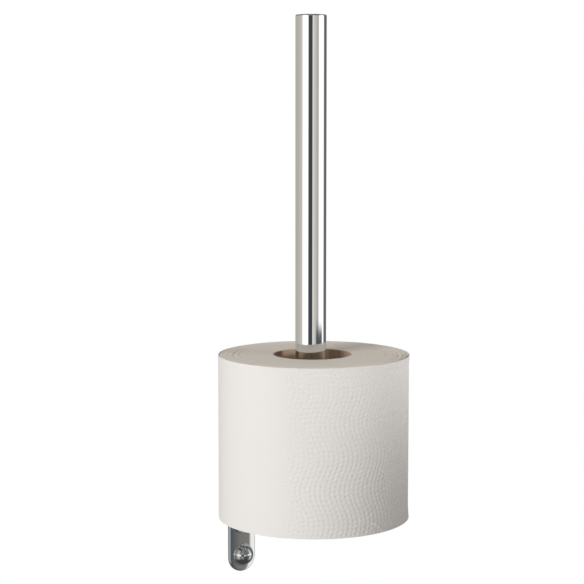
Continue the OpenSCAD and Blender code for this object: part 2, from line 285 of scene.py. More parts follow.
def add_step(tree, value, low, high):
    """A smooth step from 0 to 1 between two values."""
    made = add_node(
        tree, "ShaderNodeMapRange", {"Value": value, "From Min": low, "From Max": high},
        interpolation_type="SMOOTHSTEP",
    )
    return made.outputs[0]


class Nodes:
    """A short way to write a material's nodes."""

    def __init__(self, name):
        self.material = bpy.data.materials.new(name)
        self.material.use_nodes = True
        self.tree = self.material.node_tree
        self.shader = self.tree.nodes["Principled BSDF"]
        self.place = self.add("ShaderNodeTexCoord").outputs["Object"]

    def add(self, kind, inputs=None, **settings):
        return add_node(self.tree, kind, inputs, **settings)

    def noise(self, scale, detail, roughness=0.55, stretch=None):
        """Noise in cycles per metre, which a stretch below 1 draws out along an axis."""
        vector = self.place
        if stretch:
            vector = self.add("ShaderNodeMapping", {"Vector": vector, "Scale": stretch}).outputs[0]
        made = self.add("ShaderNodeTexNoise", {
            "Vector": vector, "Scale": scale, "Detail": detail, "Roughness": roughness,
        })
        return made.outputs[0]

    def ramp(self, value, *stops):
        return add_ramp(self.tree, value, stops)

    def span(self, value, low, high):
        """A value from 0 to 1 spread between two numbers."""
        made = self.add("ShaderNodeMapRange", {"Value": value, "To Min": low, "To Max": high})
        return made.outputs[0]

    def product(self, a, b):
        return self.add("ShaderNodeMath", {0: a, 1: b}, operation="MULTIPLY").outputs[0]

    def mix(self, factor, a, b):
        return add_mix(self.tree, factor, a, b)

    def bump(self, height, distance, strength):
        made = self.add("ShaderNodeBump", {"Height": height, "Distance": distance, "Strength": strength})
        return made.outputs[0]

    def reach(self, start, axes=(1, 1, 1)):
        """The distance from a start, along the axes that have a 1."""
        off = self.add("ShaderNodeVectorMath", {0: self.place, 1: start}, operation="SUBTRACT").outputs[0]
        off = self.add("ShaderNodeVectorMath", {0: off, 1: axes}, operation="MULTIPLY").outputs[0]
        return self.add("ShaderNodeVectorMath", {0: off}, operation="LENGTH").outputs["Value"]

    def rings(self, radius, scale, detail):
        """Noise along a radius, in cycles per metre."""
        made = self.add(
            "ShaderNodeTexNoise", {"W": radius, "Scale": scale, "Detail": detail}, noise_dimensions="1D",
        )
        return made.outputs[0]

    def set(self, **sockets):
        """Values or links of the shader's own sockets, whose names have _ for a space."""
        for key, value in sockets.items():
            feed(self.tree, self.shader.inputs[key.replace("_", " ")], value)
        return self.material


def shade(colour, share=1.0):
    """A colour for a socket, at a share of its brightness."""
    return (*[c * share for c in colour], 1)


def chrome_material(name, colour, rough):
    n = Nodes(name)
    haze = n.noise(90, 2)
    film = n.noise(700, 4)
    tone = n.mix(haze, shade(colour, 0.97), shade(colour))
    smear = n.product(haze, film)
    return n.set(
        Base_Color=tone, Metallic=1.0, Roughness=n.span(smear, rough * 0.6, rough * 1.6),
        Normal=n.bump(film, 0.000002, 0.15),
    )


def zinc_material():
    n = Nodes("zinc plated steel")
    cloud = n.noise(260, 4)
    grain = n.noise(2600, 3)
    tone = n.ramp(cloud, (0.3, (0.47, 0.46, 0.42)), (0.55, (0.60, 0.59, 0.54)), (0.75, (0.66, 0.62, 0.50)))
    return n.set(
        Base_Color=tone, Metallic=1.0, Roughness=n.span(cloud, 0.28, 0.5), Normal=n.bump(grain, 0.00002, 0.4),
    )


def nylon_material():
    n = Nodes("white nylon")
    cloud = n.noise(180, 3)
    grain = n.noise(3000, 2)
    tone = n.mix(cloud, (0.70, 0.70, 0.68, 1), (0.78, 0.78, 0.76, 1))
    return n.set(Base_Color=tone, Roughness=n.span(cloud, 0.42, 0.6), Normal=n.bump(grain, 0.00003, 0.35))


def cardboard_material():
    n = Nodes("core cardboard")
    fibre = n.noise(420, 5, 0.65, stretch=(1, 1, 0.35))
    fleck = n.noise(1500, 2)
    tone = n.ramp(fibre, (0.25, (0.47, 0.345, 0.245)), (0.55, (0.52, 0.385, 0.28)), (0.8, (0.58, 0.44, 0.33)))
    tone = n.mix(n.ramp(fleck, (0.62, 0.0), (0.72, 0.3)), tone, (0.38, 0.27, 0.19, 1))
    return n.set(Base_Color=tone, Roughness=0.92, Normal=n.bump(fibre, 0.00005, 0.5), Specular_IOR_Level=0.3)


PAPER = (0.845, 0.820, 0.795)
# The roll's ends take a darker, warmer copy of the paper: partly the tone of the cut layers, partly painted
# shade for the top's weaker light
PAPER_END_WITH_SHADE = (0.85, 0.785, 0.70)


def tissue_material():
    n = Nodes("embossed tissue")
    cloud = n.noise(55, 3)
    fibre = n.noise(1300, 4, 0.7)
    crepe = n.noise(900, 3, 0.6, stretch=(1, 1, 0.25))
    tone = n.mix(cloud, shade(PAPER, 0.985), shade(PAPER))
    tone = n.mix(n.ramp(fibre, (0.35, 0.12), (0.6, 0.0)), tone, shade(PAPER, 0.9))
    height = n.mix(0.5, fibre, crepe)
    return n.set(
        Base_Color=tone, Roughness=0.95, Normal=n.bump(height, 0.00006, 0.5), Specular_IOR_Level=0.2,
        Sheen_Weight=0.08, Sheen_Roughness=0.5,
    )


def wound_material():
    """The ends of the roll, where the edges of all its turns show as fine rings."""
    n = Nodes("wound tissue")
    radius = n.reach((ROLL_CENTRE[0] * MM, ROLL_CENTRE[1] * MM, 0), (1, 1, 0))
    rings, broad = n.rings(radius, 1700, 3), n.rings(radius, 260, 2)
    fibre = n.noise(1400, 4, 0.7)
    # the ends' colour is the darker copy of the paper, partly painted shade
    tone = n.mix(n.ramp(rings, (0.3, 0.6), (0.6, 0.0)), shade(PAPER_END_WITH_SHADE), shade(PAPER_END_WITH_SHADE, 0.84))
    tone = n.mix(n.ramp(broad, (0.3, 0.35), (0.6, 0.0)), tone, shade(PAPER_END_WITH_SHADE, 0.88))
    height = n.mix(0.35, rings, fibre)
    return n.set(
        Base_Color=tone, Roughness=0.97, Normal=n.bump(height, 0.0001, 0.55), Specular_IOR_Level=0.15,
        Sheen_Weight=0.05,
    )


CHROME = chrome_material("chrome", (0.80, 0.81, 0.815), 0.045)
SEAT_CHROME = chrome_material("satin chrome", (0.66, 0.67, 0.68), 0.10)
# the dome caps take a dimmer copy of the chrome: painted shade that darkens what they mirror
DIMMED_CAP_CHROME = chrome_material("cap chrome with painted shade", (0.59, 0.605, 0.615), 0.05)
ZINC = zinc_material()
NYLON = nylon_material()
CARDBOARD = cardboard_material()
TISSUE = tissue_material()
WOUND = wound_material()

# Wall plate
END_STEPS = 64
SIDE_STEPS = 20


def plate_section():
    """The plate's half section from its back edge to its middle, as (distance from the middle, depth)."""
    crown_r = (PLATE_R ** 2 + CROWN_DROP ** 2) / (2 * CROWN_DROP)
    crown = (0, PLATE_T - crown_r)
    edge_x = PLATE_R - PLATE_EDGE
    rise = math.sqrt((crown_r - PLATE_EDGE) ** 2 - edge_x ** 2)
    slope = math.degrees(math.atan2(rise, edge_x))
    return (
        arc((PLATE_R - PLATE_BACK_EDGE, PLATE_BACK_EDGE), PLATE_BACK_EDGE, -90, 0, 3)
        + arc((edge_x, crown[1] + rise), PLATE_EDGE, 0, slope, 10)
        + arc(crown, crown_r, slope, 90, 14)[1:]
    )


def plate_blank():
    """The strap without its holes: its section carried round its outline."""
    section = plate_section()
    half = PLATE_STRAIGHT / 2
    along = [-half + PLATE_STRAIGHT * k / SIDE_STEPS for k in range(SIDE_STEPS)]
    around = [math.pi * k / END_STEPS for k in range(END_STEPS)]
    stations = [(z, (1, 0)) for z in along]
    stations += [(half, (math.cos(a), math.sin(a))) for a in around]
    stations += [(-z, (-1, 0)) for z in along]
    stations += [(-half, (-math.cos(a), -math.sin(a))) for a in around]
    verts, faces, n = [], [], len(section)
    for z, (dx, dz) in stations:
        verts += [(dx * r, z + dz * r, depth) for r, depth in section]
    for i in range(len(stations)):
        j = (i + 1) % len(stations)
        faces += [(i * n + k, j * n + k, j * n + k + 1, i * n + k + 1) for k in range(n - 1)]
    faces.append([i * n for i in range(len(stations))])
    return verts, faces


def make_plate():
    plate = solid("wall_strap", plate_blank(), ON_WALL)
    behind, before = -1, 4
    sink_r, hole_r = ARM_SCREW_HEAD_R + HOLE_PLAY, ARM_SCREW_R + HOLE_PLAY
    cuts = [solid("cut", turned([
        (0, behind), (sink_r - behind, behind), (sink_r, 0),
        (hole_r, sink_r - hole_r), (hole_r, before), (0, before),
    ]), ON_WALL)]
    for side in (-1, 1):
        place = screw_point(side)
        cuts += [
            solid("cut", cylinder(SCREW_HOLE_R, behind, before), place),
            solid("cut", cylinder(SEAT_RECESS_R, SEAT_DEPTH, before + 1), place),
        ]
    combine(plate, "DIFFERENCE", *cuts)
    dress(plate, "holder", "chrome", CHROME, "wall_plate")


# Wall screws, cap rings and dome caps
THREAD_SEGMENTS, ROWS_PER_PITCH = 48, 8
CREST_HALF, CREST_POWER = 0.34, 0.8
TIP_R = 0.12


def thread():
    """A wood screw's body along +Z, with a thread that runs out at its start and comes to a tip."""
    reach = SCREW_REACH - THREAD_START
    rows = int(reach / PITCH * ROWS_PER_PITCH)
    count = THREAD_SEGMENTS
    verts, faces = [], []
    for j in range(rows + 1):
        h = THREAD_START + reach * j / rows
        grown = min(1, (h - THREAD_START) / PITCH)
        taper = min(1, (SCREW_REACH - h) / SCREW_TIP)
        for i in range(count):
            phase = (h / PITCH - i / count) % 1
            crest = (SHANK_R - THREAD_ROOT) * max(0, 1 - abs(phase - 0.5) / CREST_HALF) ** CREST_POWER
            r = max(THREAD_ROOT + crest * grown if taper >= 1 else (THREAD_ROOT + crest) * taper, TIP_R)
            a = FULL_TURN * i / count
            verts.append((r * math.cos(a), r * math.sin(a), h))
    for j in range(rows):
        for i in range(count):
            k = (i + 1) % count
            faces.append((j * count + i, j * count + k, (j + 1) * count + k, (j + 1) * count + i))
    faces.append(list(range(count)))
    faces.append(list(range(rows * count, (rows + 1) * count)))
    return verts, faces


# Cross recesses: the length, width and depth of their cutting shapes, which start above the head and narrow
# as they go down
RECESS = (4.86, 1.026, 1.8)
RECESS_START = 0.3
RECESS_TAPER = 0.62


def cut_cross(head, place, top):
    """Cuts a cross recess in the top of a screw's head."""
    above = Matrix.Translation((0, 0, top + RECESS_START))
    cuts = []
    for turn in (45, 135):
        down = above @ Matrix.Rotation(math.radians(turn), 4, "Z") @ HALF_TURN
        cuts.append(solid("cut", box(RECESS, RECESS_TAPER), place @ down))
    combine(head, "DIFFERENCE", *cuts)


def make_wall_screw(side, name):
    place = screw_point(side)
    head = solid("wall_screw_" + name, turned(rounded([
        (0, NECK_FOOT), (SCREW_NECK_R, NECK_FOOT), (SCREW_NECK_R, CONE_START - SHANK_R + SCREW_NECK_R, 0.6),
        (HEAD_R, HEAD_TOP - HEAD_RIM, 0.1), (HEAD_R, HEAD_TOP, 0.15), (HEAD_FLAT_R, HEAD_TOP), (0, HEAD_TOP),
    ]), SCREW_SEGMENTS), place)
    cut_cross(head, place, HEAD_TOP)
    combine(head, "UNION", solid("body", thread(), place @ HALF_TURN))
    dress(head, "holder", "zinc_steel", ZINC, "wall_screw_" + name)


def make_seat(side, name):
    # the ring's hub has a groove, and above it the bead that the dome cap snaps over
    groove_r = SEAT_HUB_R - GROOVE_DEPTH
    head_r, shank_r = HEAD_R + FIT_PLAY, SHANK_R + FIT_PLAY
    seat = solid("cap_ring_" + name, turned(rounded([
        (shank_r, SEAT_DEPTH), (SEAT_R, SEAT_DEPTH, 0.1), (SEAT_R, SEAT_TOP, 0.3),
        (groove_r, SEAT_TOP, 0.12), (groove_r, SEAT_TOP + GROOVE_H, 0.1),
        (SEAT_HUB_R, SEAT_TOP + BEAD_H, 0.15), (SEAT_HUB_R, HUB_TOP, 0.25), (head_r, HUB_TOP, 0.08),
        (head_r, HEAD_TOP - HEAD_RIM), (shank_r, CONE_START),
    ])), screw_point(side))
    dress(seat, "holder", "chrome", SEAT_CHROME, "cap_seat_" + name)


def make_dome(side, name):
    ball_z = DOME_H - DOME_BALL_R
    start = math.degrees(math.asin((DOME_SKIRT - ball_z) / DOME_BALL_R))
    room = math.degrees(math.asin((DOME_ROOM_H - ball_z) / DOME_INNER_BALL_R))
    outer = arc((0, ball_z), DOME_BALL_R, start, 90, 28)
    inner = arc((0, ball_z), DOME_INNER_BALL_R, 90, room, 20)
    outer[-1].x = inner[0].x = 0
    profile = inner + [Vector((DOME_ROOM_R, DOME_ROOM_H))]
    profile += [Vector((DOME_ROOM_R, DOME_LEAD_IN)), Vector((DOME_ROOM_R + DOME_LEAD_IN, 0))]
    profile += arc((DOME_R - DOME_FOOT_ROUND, DOME_FOOT_ROUND), DOME_FOOT_ROUND, -90, 0, 4) + outer
    lift = Matrix.Translation((0, 0, SEAT_TOP))
    dome = solid("screw_cap_" + name, turned(profile, DOME_SEGMENTS), screw_point(side) @ lift)
    # the dome's chrome is the dimmed copy, painted shade
    dress(dome, "cap_" + name, "chrome", DIMMED_CAP_CHROME, "dome_cap_" + name)


# Arm
def make_arm():
    tilt = math.atan(ARM_TIP_Z / ARM_RUN)
    length = ARM_RUN / math.cos(tilt)
    front = Matrix.Translation((0, -PLATE_T, 0)) @ ON_WALL
    lean = front @ Matrix.Rotation(-tilt, 4, "X")
    # the rod starts a little inside the flange, so that the two join
    root_x, root_z = ARM_ROOT_R + ARM_FILLET_R, FLANGE_T - 1.2
    rod = solid("support_bracket", turned(
        [Vector((0, root_z)), Vector((root_x, root_z)), Vector((root_x, FLANGE_T))]
        + arc((root_x, FLANGE_T + ARM_FILLET_R), ARM_FILLET_R, 270, 180, 12)
        + [Vector((ARM_TIP_R, length)), Vector((0, length))]
    ), lean)
    flange = solid("flange", turned(rounded([
        (0, 0), (FLANGE_R, 0, 0.15), (FLANGE_R, FLANGE_T, 0.6), (0, FLANGE_T),
    ])), front)
    socket_half = (
        [Vector((0, SOCKET_FOOT))]
        + arc((SOCKET_FOOT_R - SOCKET_ROUND, SOCKET_FOOT + SOCKET_ROUND), SOCKET_ROUND, -90, SOCKET_SLOPE, 6)
        + arc((SOCKET_R - SOCKET_ROUND, SOCKET_TOP - SOCKET_ROUND), SOCKET_ROUND, SOCKET_SLOPE, 90, 12)
        + [Vector((0, SOCKET_TOP))]
    )
    socket = solid("socket", turned(socket_half, FINE_SEGMENTS), AT_POLE)
    combine(rod, "UNION", flange, socket)
    combine(
        rod, "DIFFERENCE",
        solid("cut", cylinder(COVER_R + HOLE_PLAY, SOCKET_FOOT - 8, SOCKET_FOOT), AT_POLE),
        solid("cut", cylinder(WELL_R, SOCKET_FOOT - 1, WELL_TOP), AT_POLE),
        solid("cut", cylinder(BOLT_HOLE_R, SOCKET_FOOT, SOCKET_TOP + 1), AT_POLE),
        solid("cut", cylinder(ARM_SCREW_R, -1, ARM_SCREW_REACH + 0.5), front),
    )
    dress(rod, "holder", "chrome", CHROME, "support_arm")


def make_arm_screw():
    sunk, tip = 0.05, PLATE_T + ARM_SCREW_REACH
    screw = solid("bracket_screw", turned(rounded([
        (0, sunk), (ARM_SCREW_HEAD_R, sunk, 0.1), (ARM_SCREW_HEAD_R, HEAD_RIM, 0.05),
        (ARM_SCREW_R, ARM_SCREW_CONE), (ARM_SCREW_R, tip - ARM_SCREW_CHAMFER),
        (ARM_SCREW_R - ARM_SCREW_CHAMFER, tip), (0, tip),
    ]), SCREW_SEGMENTS), ON_WALL)
    cut_cross(screw, ON_WALL @ HALF_TURN, -sunk)
    dress(screw, "holder", "zinc_steel", ZINC, "arm_fixing_screw")


def make_socket_cover():
    cover = solid("bolt_cover", turned(rounded([
        (0, -COVER_H), (COVER_R, -COVER_H, 0.45), (COVER_R, 0, 0.08), (WELL_R - FIT_PLAY, 0),
        (WELL_R - FIT_PLAY, COVER_PLUG_H, 0.15), (0, COVER_PLUG_H),
    ])), AT_POLE @ Matrix.Translation((0, 0, SOCKET_FOOT)))
    dress(cover, "holder", "chrome", SEAT_CHROME, "socket_cover")


# Pole and rest disc
def make_pole():
    tube = solid("pole", turned(rounded([
        (POLE_BORE_R, POLE_FOOT), (POLE_R, POLE_FOOT, 0.12), (POLE_R, POLE_TOP, POLE_ROUND),
        (POLE_BORE_R, POLE_TOP, 0.06), (POLE_BORE_R, POLE_TOP - TOP_CAP_H - 2),
    ], 10), FINE_SEGMENTS), AT_POLE)
    dress(tube, "holder", "chrome", CHROME, "pole_tube")
    cap = solid("pole_end_cap", turned(rounded([
        (0, POLE_TOP - TOP_CAP_H), (PLUG_R, POLE_TOP - TOP_CAP_H, 0.3),
        (PLUG_R, POLE_TOP, 0.14), (0, POLE_TOP),
    ]), FINE_SEGMENTS), AT_POLE)
    dress(cap, "holder", "chrome", CHROME, "pole_top_cap")
    hub = solid("pole_hub", turned(rounded([
        (HUB_BORE_R, SOCKET_TOP), (HUB_R, SOCKET_TOP, 0.1), (HUB_R, POLE_FOOT, 0.25),
        (PLUG_R, POLE_FOOT, 0.05), (PLUG_R, SPIGOT_TOP, 0.4), (HUB_BORE_R, SPIGOT_TOP),
    ]), RING_SEGMENTS), AT_POLE)
    dress(hub, "holder", "zinc_steel", ZINC, "pole_foot_hub")


def make_disc():
    edge = DISC_T / 2
    top = DISC_Z + DISC_T
    profile = (
        [Vector((DISC_BORE_R, DISC_Z))]
        + arc((DISC_R - edge, DISC_Z + edge), edge, -90, 90, 16)
        + rounded([
            (COLLAR_R + 6, top), (COLLAR_R, top, 0.8), (COLLAR_R, COLLAR_TOP, 0.4),
            (DISC_BORE_R, COLLAR_TOP, 0.2), (DISC_BORE_R, top),
        ])
    )
    disc = solid("roll_plate", turned(profile, FINE_SEGMENTS), AT_POLE)
    dress(disc, "turntable", "chrome", CHROME, "rest_disc")
    ring = solid("glide_ring", turned(rounded([
        (r, z, 0.1) for r, z in (
            (GLIDE_BORE_R, SOCKET_TOP), (GLIDE_R, SOCKET_TOP), (GLIDE_R, DISC_Z), (GLIDE_BORE_R, DISC_Z),
        )
    ], 3), RING_SEGMENTS), AT_POLE)
    dress(ring, "holder", "nylon", NYLON, "glide_washer")


# Toilet roll. The dots pressed in its outer sheet have a spacing round and up the roll, a first place, a size
# and a depth where they are flattened and where they are full. Their columns run up the roll in waves, and
# each column stands higher or lower than the next by up to the stagger.
DOT_U, DOT_V = 2.80, 2.773
DOT_FIRST_U, DOT_FIRST_V = 1.96, 1.386
DOT_SIZE_U, DOT_SIZE_V = 0.58, 0.55
DOT_SHALLOW, DOT_DEEP = 0.08, 0.31
DOT_ROOM = 0.8
DOT_STAGGER = 0.85
DOT_PRESS = (0.55, 1.20)
DOT_COLUMNS, DOT_ROWS, DOT_MARGIN = 160, 40, 3
DOT_SEED = 5
WAVE_LENGTH, WAVE_SWING, WAVE_LEFT = 38.2, 2.6, 83.1
SHEET_T = 0.26
TURN_T = 0.40
SHEET_SPAN = 366.0
COLUMNS_PER_DOT, ROWS_PER_DOT = 5, 4
SHEET_BORDER = 8.0
SHEET_INSET = 0.06
SEED = 11
SOFT_SHARP = math.radians(60)
# Where the dots aren't flattened, and where they are deepest, in degrees round the roll from its free edge.
# They are flattened on the left, where the roll was held.
DOTS_PRESSED = (8, 25, 240, 300)
DOTS_DEEPEST = (62, 80, 100, 130)
# How the sheet's rims stand off or lie in: how far, at which height, over how much of it, in which direction
# and over how many degrees
RIM_PLACES = (
    (0.45, 0, 3.0, 322, 26), (0.35, ROLL_H, 2.2, 330, 22), (-0.30, 0, 3.0, 296, 12),
)
# The crease's place and slant, and its ridge and groove: height, place and width across it, and along it
CREASE_DIRECTION, CREASE_RISE = 275.5, 4.2
CREASE_SLANT = (0.56, 0.83)
CREASE_FOLDS = ((0.55, 0.0, 0.55, 0.0, 3.0), (-0.40, -1.3, 0.7, 1.0, 2.4))


def waver(angle, seed, terms=6, fall=0.7, first=1):
    """A smooth random curve round the roll, from -1 to 1 or so."""
    pick = np.random.RandomState(seed)
    total, size = np.zeros_like(angle), 0.0
    for k in range(first, first + terms):
        weight = fall ** (k - first)
        total += weight * np.sin(k * angle + pick.uniform(0, FULL_TURN))
        size += weight
    return total / size * 1.6


def wave(v):
    """How far left the columns of dots lie at a height of the sheet."""
    return WAVE_SWING * np.cos(FULL_TURN * (v + REST_Z - WAVE_LEFT) / WAVE_LENGTH)


def dots(u, v):
    """Depth of the dots at a place of the flat sheet, from 0 to 1 or so. Some are deeper than others."""
    across = (u + wave(v) - DOT_FIRST_U) / DOT_U
    column = np.round(across)
    pick = np.random.RandomState(DOT_SEED)
    presses = pick.uniform(*DOT_PRESS, (DOT_COLUMNS, DOT_ROWS))
    shifts = pick.uniform(-DOT_STAGGER, DOT_STAGGER, DOT_COLUMNS)
    depth = np.zeros_like(across)
    for i in (-1, 0, 1):
        line = (column + i).astype(int) + DOT_MARGIN
        up = (v - DOT_FIRST_V - shifts[line]) / DOT_V
        row = np.round(up)
        for j in (-1, 0, 1):
            press = presses[line, (row + j).astype(int) + DOT_MARGIN]
            du, dv = (across - column - i) * DOT_U, (up - row - j) * DOT_V
            depth += press * np.exp(-0.5 * ((du / DOT_SIZE_U) ** 2 + (dv / DOT_SIZE_V) ** 2))
    return depth


def smooth(x):
    x = np.clip(x, 0, 1)
    return x * x * (3 - 2 * x)


def bell(x, width):
    return np.exp(-0.5 * (x / width) ** 2)


def plateau(x, start, full, fade, end):
    """A smooth rise from start to full and a smooth fall from fade to end."""
    return smooth((x - start) / (full - start)) * smooth((end - x) / (end - fade))


def apart(a, b):
    """The signed difference of two directions in degrees."""
    return (a - b + 180) % 360 - 180


def places(centre, radius, angle, z):
    """Points at radii, angles and heights round an upright axis, as an array."""
    x, y = centre[0] + radius * np.cos(angle), centre[1] + radius * np.sin(angle)
    return np.stack(np.broadcast_arrays(x, y, z), -1)


def grid(rows, columns, closed=False):
    """Quads between the points of a grid. The last column of a closed one joins its first."""
    i, j = np.meshgrid(np.arange(rows - 1), np.arange(columns if closed else columns - 1), indexing="ij")
    a, b = (i * columns + j).ravel(), (i * columns + (j + 1) % columns).ravel()
    return np.stack([a, a + columns, b + columns, b], -1)


def dot_depth(turn, share):
    """How deep the dots are at a turn from the free edge in degrees and a share of the roll's height."""
    depth = DOT_SHALLOW + (DOT_DEEP - DOT_SHALLOW) * plateau(turn, *DOTS_PRESSED)
    # as the photograph shows them, they get shallower upwards, less so in the middle, and deep on the right
    depth = depth * (1 - 0.24 * share) * (1 + 0.5 * (share - 0.15) * bell(turn - 34, 14))
    return depth * (1 + 0.70 * plateau(turn, *DOTS_DEEPEST))


def rim_shape(direction, rise):
    """How far the sheet stands off at its rims, and lies in at one place of the lower one."""
    return sum(
        off * bell(rise - height, fade) * bell(apart(direction, middle), width)
        for off, height, fade, middle, width in RIM_PLACES
    )


def crease(direction, rise):
    """A crease low on the right of the sheet, a slanting ridge with a groove beside it."""
    du, dv = np.radians(apart(direction, CREASE_DIRECTION)) * ROLL_R, rise - CREASE_RISE
    small, large = CREASE_SLANT
    across, along = du * small + dv * large, du * large - dv * small
    return sum(
        height * bell(across - x, width) * bell(along - y, length)
        for height, x, width, y, length in CREASE_FOLDS
    )


def sheet_surface(u, rise):
    """The sheet's outside at a distance along it and up it: points as an array, their radius and angle."""
    turn = np.degrees(u / ROLL_R)
    direction = FREE_EDGE + turn
    angle = np.radians(direction)
    share = rise / ROLL_H
    # the free edge is torn along its perforation, and the sheet's long edges waver a little
    torn = 0.25 * waver(share * FULL_TURN, SEED, 14, 0.95, 9) * bell(u, 1.2)
    angle = angle + torn / ROLL_R
    radius = ROLL_R - SHEET_INSET - TURN_T * turn / 360
    radius = radius + 0.12 * waver(angle, SEED + 1, 5) * np.sin(np.pi * share)
    inside_rims = (1 - bell(rise, 0.7)) * (1 - bell(rise - ROLL_H, 0.7))
    radius = radius - dot_depth(turn, share) * dots(u, rise) * inside_rims
    radius = radius + rim_shape(direction, rise) + crease(direction, rise)
    ragged = 0.10 * waver(angle, SEED + 2, 12, 0.9, 3) + 0.05 * waver(angle, SEED + 3, 30, 0.98, 20)
    z = np.minimum(REST_Z + rise + (ragged - 0.1) * share, REST_Z + ROLL_H)
    return places(ROLL_CENTRE, radius, angle, z), radius, angle


def make_outer_sheet():
    """The outermost turn, with its dots, its crease and its free edge."""
    length = math.radians(SHEET_SPAN) * ROLL_R
    # the mesh's columns follow the waves of the dots between the sheet's borders
    rise = np.append(np.arange(0, ROLL_H, DOT_V / ROWS_PER_DOT), ROLL_H)[None, :]
    u = np.append(np.arange(0, length, DOT_U / COLUMNS_PER_DOT), length)[:, None]
    u = u - wave(rise) * smooth(u / SHEET_BORDER) * smooth((length - u) / SHEET_BORDER)
    rise = rise + 0 * u
    outer, radius, angle = sheet_surface(u, rise)
    step = 0.05
    along = sheet_surface(u + step, rise)[0] - sheet_surface(u - step, rise)[0]
    up = sheet_surface(u, rise + step)[0] - sheet_surface(u, rise - step)[0]
    normals = np.cross(along, up)
    normals /= np.linalg.norm(normals, axis=-1, keepdims=True)
    # the inside draws in behind the dots
    picked = [0, 2, -3, -1]
    inside = radius[:, picked] - SHEET_T - np.array([0, 1, 1, 0]) * DOT_ROOM
    inner = places(ROLL_CENTRE, inside, angle[:, picked], outer[:, picked, 2])
    c, r = radius.shape
    verts = np.concatenate([outer.reshape(-1, 3), inner.reshape(-1, 3)])
    quads = [grid(c, r)]
    k = np.arange(c - 1)
    m = len(picked)
    for row in range(m - 1):
        back = c * r + m * k + row
        quads.append(np.stack([back, back + 1, back + 1 + m, back + m], -1))
    back = c * r + m * k
    quads.append(np.stack([k * r, back, back + m, (k + 1) * r], -1))
    quads.append(np.stack([k * r + r - 1, (k + 1) * r + r - 1, back + 2 * m - 1, back + m - 1], -1))
    quads = np.concatenate(quads)
    ends = []
    for column in (0, c - 1):
        front, rear = column * r, c * r + column * m
        ends.append([*range(front, front + r), *range(rear + m - 1, rear - 1, -1)])
    sheet = solid("outer_turn", (verts, quads.tolist() + ends))
    # the shading is that of the exact surface, and the inside keeps its own
    normals = np.concatenate([normals.reshape(-1, 3), np.zeros((m * c, 3))])
    dress(
        sheet, "roll", "tissue", TISSUE, "roll_outer_sheet", sharp=SOFT_SHARP, normals=normals.tolist(),
    )


WOUND_RINGS, WOUND_STEPS = 104, 288
# The grooves between the outer windings: distance from the rim, depth and width
GROOVES = (
    (1.5, 0.75, 0.2), (3.6, 0.7, 0.24), (6.3, 0.6, 0.24),
    (9.4, 0.45, 0.26), (13.0, 0.3, 0.3), (18.5, 0.2, 0.3),
)
LAYER, LAYERS = 1.15, 80
EDGE_DEPTH, EDGE_RELIEF = 0.12, 0.05
SLUMP, SLUMP_SHARE = 0.12, 0.03
WAIST_STEP, WAIST_RIM = 0.35, 1.2


def end_height(out, angle, seed):
    """The shape of a roll's end, over its rim: the edges of the turns, and grooves between the outer ones."""
    pick = np.random.RandomState(seed)
    tops = pick.uniform(-1, 1, LAYERS)
    where = out / LAYER - angle / FULL_TURN + 4
    index = np.floor(where).astype(int)
    part = np.clip((where - index - 0.5) * 4, -0.5, 0.5) + 0.5
    along = angle / FULL_TURN
    low = tops[index - 1] * (1 - along) + tops[index] * along
    high = tops[index] * (1 - along) + tops[index + 1] * along
    height = EDGE_RELIEF * (low * (1 - part) + high * part) - EDGE_DEPTH
    rim = ROLL_R - CORE_R - CORE_WALL
    for gap, (inset, depth, width) in enumerate(GROOVES):
        centre = rim - inset + 0.35 * waver(angle, seed + 10 + gap, 5)
        strength = 0.55 + 0.45 * waver(angle, seed + 30 + gap, 4)
        height = height - depth * np.clip(strength, 0.1, 1) * bell(out - centre, width)
    return height


def make_wound_paper():
    """The wound body under the outermost turn, from the core to the rim."""
    inner_r, outer_r = CORE_R + CORE_WALL + 0.02, ROLL_R - TURN_T - SHEET_T - 0.16
    share = np.linspace(0, 1, WOUND_RINGS)[:, None] ** 0.85
    angle = np.linspace(0, FULL_TURN, WOUND_STEPS, endpoint=False)[None, :]
    x, y = [
        (1 - share) * (CORE_CENTRE[i] + inner_r * side) + share * (ROLL_CENTRE[i] + outer_r * side)
        for i, side in enumerate((np.cos(angle), np.sin(angle)))
    ]
    out, angles = np.broadcast_arrays(share * (outer_r - inner_r), angle)
    top = REST_Z + ROLL_H + end_height(out, angles, SEED + 40) - SLUMP * bell(share - 1, SLUMP_SHARE)
    bottom = REST_Z - np.minimum(end_height(out, angles, SEED + 50) + 0.1, 0)
    n, m = WOUND_RINGS, WOUND_STEPS
    upper = grid(n, m, closed=True)
    lower = upper[:, ::-1] + n * m
    k = np.arange(m)
    k2 = (k + 1) % m
    rim, foot = (n - 1) * m, n * m
    # the side draws in behind the outermost turn's dots
    waist = [
        places(ROLL_CENTRE, outer_r - WAIST_STEP - DOT_ROOM, angle[0], z)
        for z in (REST_Z + ROLL_H - WAIST_RIM, REST_Z + WAIST_RIM)
    ]
    verts = np.concatenate([*[np.stack([x, y, z], -1).reshape(-1, 3) for z in (top, bottom)], *waist])
    loops = [rim, 2 * foot, 2 * foot + m, foot + rim]
    sides = np.concatenate(
        [np.stack([a + k, b + k, b + k2, a + k2], -1) for a, b in zip(loops, loops[1:])]
        + [np.stack([k, k2, foot + k2, foot + k], -1)]
    )
    body = solid("wound_paper", (verts, np.concatenate([upper, lower, sides]).tolist()))
    dress(body, "roll", "tissue", WOUND, "roll_paper", sharp=SOFT_SHARP)


CORE_STEPS, CORE_ROWS = 240, 64
SEAM_TURN, SEAM_HEIGHT, SEAM_WIDTH = 420, 0.10, 0.5
CORE_SHARP = math.radians(50)


